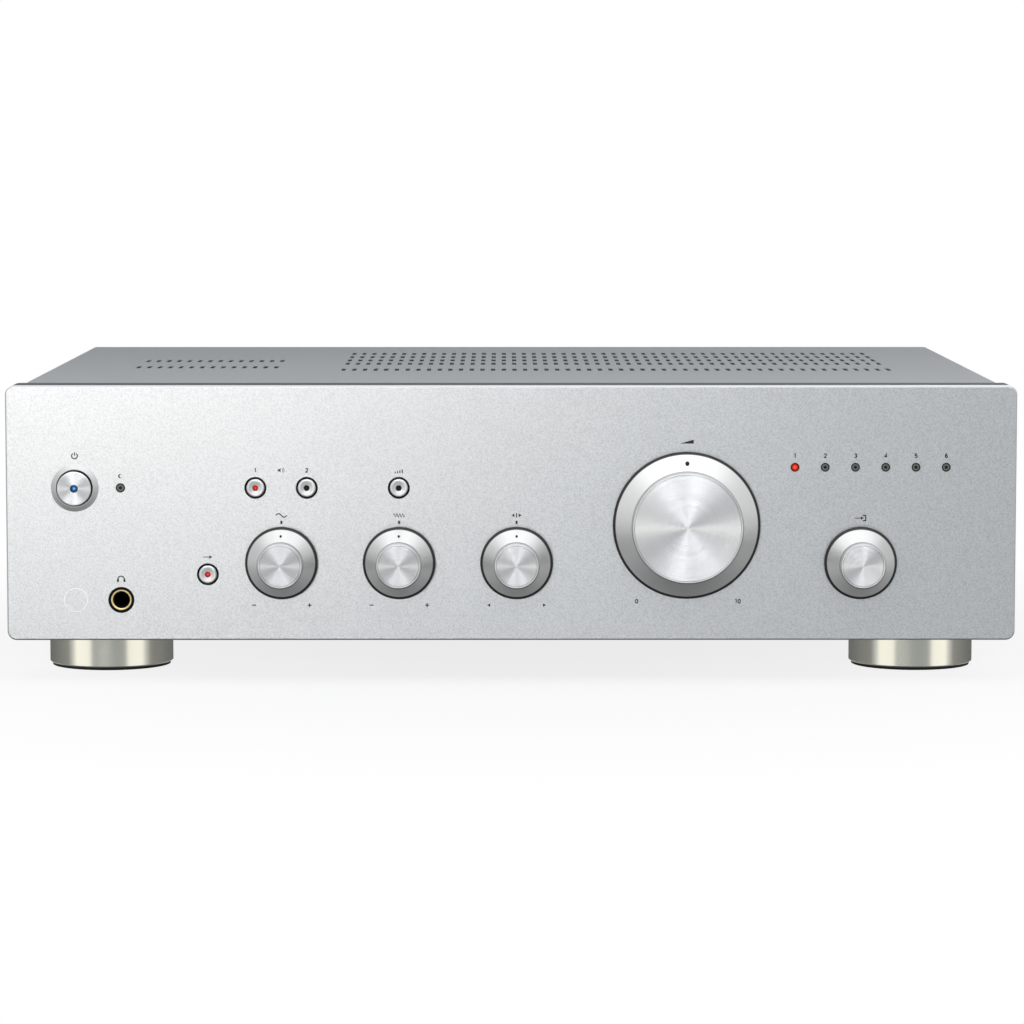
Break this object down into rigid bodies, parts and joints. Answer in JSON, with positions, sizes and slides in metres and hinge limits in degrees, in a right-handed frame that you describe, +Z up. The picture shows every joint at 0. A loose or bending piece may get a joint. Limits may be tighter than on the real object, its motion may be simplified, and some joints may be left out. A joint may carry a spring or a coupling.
{
  "type": "integrated amplifier",
  "caption": "Full-width silver integrated amplifier with a large volume knob, small tone knobs, push buttons, indicator lamps, a vented cover and round feet.",
  "frame": {"origin": "centre of the overall box on the surface the pads stand on", "axes": "+X to the right seen from the front, +Y towards the back, +Z up"},
  "size_m": [0.435, 0.36, 0.1285],
  "materials": {
    "silver_panel": "bead-blasted satin anodising",
    "spun_metal": "fine lathe-turned rings",
    "knob_metal": "satin anodised",
    "cover_paint": "satin silver-grey paint",
    "rear_paint": "dark grey satin paint",
    "bare_steel": "zinc-plated sheet",
    "screw_steel": "plated",
    "frame_plastic": "fine grain",
    "foot_metal": "warm nickel metallised",
    "pad_rubber": "matt",
    "button_silver": "metallised satin",
    "lamp_plastic": "clear moulded light guide",
    "black_plastic": "moulded",
    "gold_plate": "polished plating",
    "brass_nut": "turned",
    "circuit_board": "solder resist",
    "iron_core": "varnished laminations",
    "copper_wire": "enamelled winding",
    "black_anodised": "matt anodised",
    "can_sleeve": "shrink sleeve",
    "red_plastic": "moulded"
  },
  "bodies": {
    "chassis": {"chassis_base": "bare_steel", "rear_panel": "rear_paint", "top_cover": "cover_paint", "front_frame": "frame_plastic", "front_panel": "silver_panel", "feet": "foot_metal", "foot_pads": "pad_rubber", "foot_screws": "screw_steel", "case_screws": "screw_steel", "volume_pot": "bare_steel", "control_pots": "bare_steel", "shaft_nuts": "brass_nut", "standby_bezel": "knob_metal", "key_switches": "black_plastic", "panel_lamps": "lamp_plastic", "phones_socket": "black_plastic", "phones_ring": "gold_plate", "blank_plug": "silver_panel", "control_board": "circuit_board", "transformer_core": "iron_core", "transformer_coil": "copper_wire", "main_board": "circuit_board", "heatsink": "black_anodised", "power_transistors": "black_plastic", "filter_capacitors": "can_sleeve", "phono_block": "black_plastic", "phono_shells": "screw_steel", "terminal_block": "black_plastic", "terminal_posts": "gold_plate", "mains_inlet": "black_plastic", "inlet_pins": "screw_steel"},
    "bass": {"bass_knob": "knob_metal", "bass_disc": "spun_metal", "bass_shaft": "bare_steel"},
    "treble": {"treble_knob": "knob_metal", "treble_disc": "spun_metal", "treble_shaft": "bare_steel"},
    "balance": {"balance_knob": "knob_metal", "balance_disc": "spun_metal", "balance_shaft": "bare_steel"},
    "input": {"input_knob": "knob_metal", "input_disc": "spun_metal", "input_shaft": "bare_steel"},
    "volume": {"volume_knob": "knob_metal", "volume_disc": "spun_metal", "volume_shaft": "bare_steel"},
    "standby_key": {"standby_button": "spun_metal"},
    "speaker_a_key": {"speaker_a_button": "button_silver"},
    "speaker_b_key": {"speaker_b_button": "button_silver"},
    "loudness_key": {"loudness_button": "button_silver"},
    "direct_key": {"direct_button": "button_silver"},
    "turn_cap_a_1": {"cap_a_1": "red_plastic"},
    "turn_cap_a_2": {"cap_a_2": "black_plastic"},
    "turn_cap_a_3": {"cap_a_3": "black_plastic"},
    "turn_cap_a_4": {"cap_a_4": "red_plastic"},
    "turn_cap_b_1": {"cap_b_1": "red_plastic"},
    "turn_cap_b_2": {"cap_b_2": "black_plastic"},
    "turn_cap_b_3": {"cap_b_3": "black_plastic"},
    "turn_cap_b_4": {"cap_b_4": "red_plastic"},
    "ground": {"ground_screw": "screw_steel"}
  },
  "joints": [
    {"name": "bass_turn", "type": "hinge", "parent": "chassis", "child": "bass", "pos_m": [-0.09901, -0.1645, 0.0521], "axis": [0, 1, 0], "range_deg": [-150, 150]},
    {"name": "treble_turn", "type": "hinge", "parent": "chassis", "child": "treble", "pos_m": [-0.04831, -0.1645, 0.0521], "axis": [0, 1, 0], "range_deg": [-150, 150]},
    {"name": "balance_turn", "type": "hinge", "parent": "chassis", "child": "balance", "pos_m": [0.00231, -0.1645, 0.0521], "axis": [0, 1, 0], "range_deg": [-150, 150]},
    {"name": "input_turn", "type": "hinge", "parent": "chassis", "child": "input", "pos_m": [0.15051, -0.1645, 0.0521], "axis": [0, 1, 0], "continuous": true},
    {"name": "volume_turn", "type": "hinge", "parent": "chassis", "child": "volume", "pos_m": [0.07549, -0.1645, 0.0684], "axis": [0, 1, 0], "range_deg": [-150, 150]},
    {"name": "standby_press", "type": "slide", "parent": "chassis", "child": "standby_key", "axis": [0, 1, 0], "range_m": [0, 0.0008], "stiffness_N_per_m": 800, "springref_m": -0.0004},
    {"name": "speaker_a_press", "type": "slide", "parent": "chassis", "child": "speaker_a_key", "axis": [0, 1, 0], "range_m": [0, 0.0008], "stiffness_N_per_m": 800, "springref_m": -0.0004},
    {"name": "speaker_b_press", "type": "slide", "parent": "chassis", "child": "speaker_b_key", "axis": [0, 1, 0], "range_m": [0, 0.0008], "stiffness_N_per_m": 800, "springref_m": -0.0004},
    {"name": "loudness_press", "type": "slide", "parent": "chassis", "child": "loudness_key", "axis": [0, 1, 0], "range_m": [0, 0.0008], "stiffness_N_per_m": 800, "springref_m": -0.0004},
    {"name": "direct_press", "type": "slide", "parent": "chassis", "child": "direct_key", "axis": [0, 1, 0], "range_m": [0, 0.0008], "stiffness_N_per_m": 800, "springref_m": -0.0004},
    {"name": "cap_a_1_turn", "type": "hinge", "parent": "chassis", "child": "turn_cap_a_1", "pos_m": [-0.093, 0.1545, 0.0845], "axis": [0, 1, 0], "range_deg": [0, 720]},
    {"name": "cap_a_2_turn", "type": "hinge", "parent": "chassis", "child": "turn_cap_a_2", "pos_m": [-0.071, 0.1545, 0.0845], "axis": [0, 1, 0], "range_deg": [0, 720]},
    {"name": "cap_a_3_turn", "type": "hinge", "parent": "chassis", "child": "turn_cap_a_3", "pos_m": [-0.049, 0.1545, 0.0845], "axis": [0, 1, 0], "range_deg": [0, 720]},
    {"name": "cap_a_4_turn", "type": "hinge", "parent": "chassis", "child": "turn_cap_a_4", "pos_m": [-0.027, 0.1545, 0.0845], "axis": [0, 1, 0], "range_deg": [0, 720]},
    {"name": "cap_b_1_turn", "type": "hinge", "parent": "chassis", "child": "turn_cap_b_1", "pos_m": [-0.093, 0.1545, 0.0585], "axis": [0, 1, 0], "range_deg": [0, 720]},
    {"name": "cap_b_2_turn", "type": "hinge", "parent": "chassis", "child": "turn_cap_b_2", "pos_m": [-0.071, 0.1545, 0.0585], "axis": [0, 1, 0], "range_deg": [0, 720]},
    {"name": "cap_b_3_turn", "type": "hinge", "parent": "chassis", "child": "turn_cap_b_3", "pos_m": [-0.049, 0.1545, 0.0585], "axis": [0, 1, 0], "range_deg": [0, 720]},
    {"name": "cap_b_4_turn", "type": "hinge", "parent": "chassis", "child": "turn_cap_b_4", "pos_m": [-0.027, 0.1545, 0.0585], "axis": [0, 1, 0], "range_deg": [0, 720]},
    {"name": "ground_turn", "type": "hinge", "parent": "chassis", "child": "ground", "pos_m": [0.0645, 0.1545, 0.0645], "axis": [0, 1, 0], "range_deg": [0, 720]}
  ]
}
